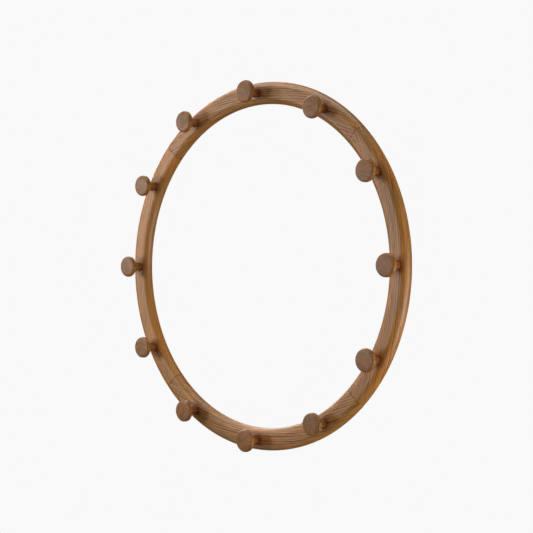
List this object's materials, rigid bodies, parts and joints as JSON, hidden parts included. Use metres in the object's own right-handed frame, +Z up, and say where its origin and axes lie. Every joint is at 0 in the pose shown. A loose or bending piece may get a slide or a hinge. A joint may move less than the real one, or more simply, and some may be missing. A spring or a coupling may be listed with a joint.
{
  "type": "wall peg rack",
  "caption": "Round wooden wall peg rack: a flat ring of joined arc segments with turned mushroom pegs on its face, hung from the wall on keyhole plates.",
  "frame": {"origin": "centre of the ring on the wall plane (the plane of its flat back)", "axes": "+Y out of the back into the wall, so the pegs point along -Y; +Z up the wall; +X to the right seen from the front"},
  "size_m": [0.7, 0.053, 0.7],
  "materials": {
    "ring_wood": "oiled oak, satin, visible grain along each segment",
    "peg_wood": "oiled oak, matte end grain on the knob front",
    "tenon_wood": "raw beech, glued in",
    "zinc_screw": "bright zinc",
    "plate_steel": "zinc-plated pressed steel"
  },
  "bodies": {
    "root": {"ring_segment_top": "ring_wood", "ring_segment_right": "ring_wood", "ring_segment_bottom": "ring_wood", "ring_segment_left": "ring_wood", "tenon_top": "tenon_wood", "tenon_right": "tenon_wood", "tenon_bottom": "tenon_wood", "tenon_left": "tenon_wood", "peg_01": "peg_wood", "peg_02": "peg_wood", "peg_03": "peg_wood", "peg_04": "peg_wood", "peg_05": "peg_wood", "peg_06": "peg_wood", "peg_07": "peg_wood", "peg_08": "peg_wood", "peg_09": "peg_wood", "peg_10": "peg_wood", "peg_11": "peg_wood", "peg_12": "peg_wood", "peg_screw_01": "zinc_screw", "peg_screw_02": "zinc_screw", "peg_screw_03": "zinc_screw", "peg_screw_04": "zinc_screw", "peg_screw_05": "zinc_screw", "peg_screw_06": "zinc_screw", "peg_screw_07": "zinc_screw", "peg_screw_08": "zinc_screw", "peg_screw_09": "zinc_screw", "peg_screw_10": "zinc_screw", "peg_screw_11": "zinc_screw", "peg_screw_12": "zinc_screw", "keyhole_plate_right": "plate_steel", "keyhole_plate_left": "plate_steel", "plate_screw_right_upper": "zinc_screw", "plate_screw_right_lower": "zinc_screw", "plate_screw_left_upper": "zinc_screw", "plate_screw_left_lower": "zinc_screw"}
  },
  "joints": []
}
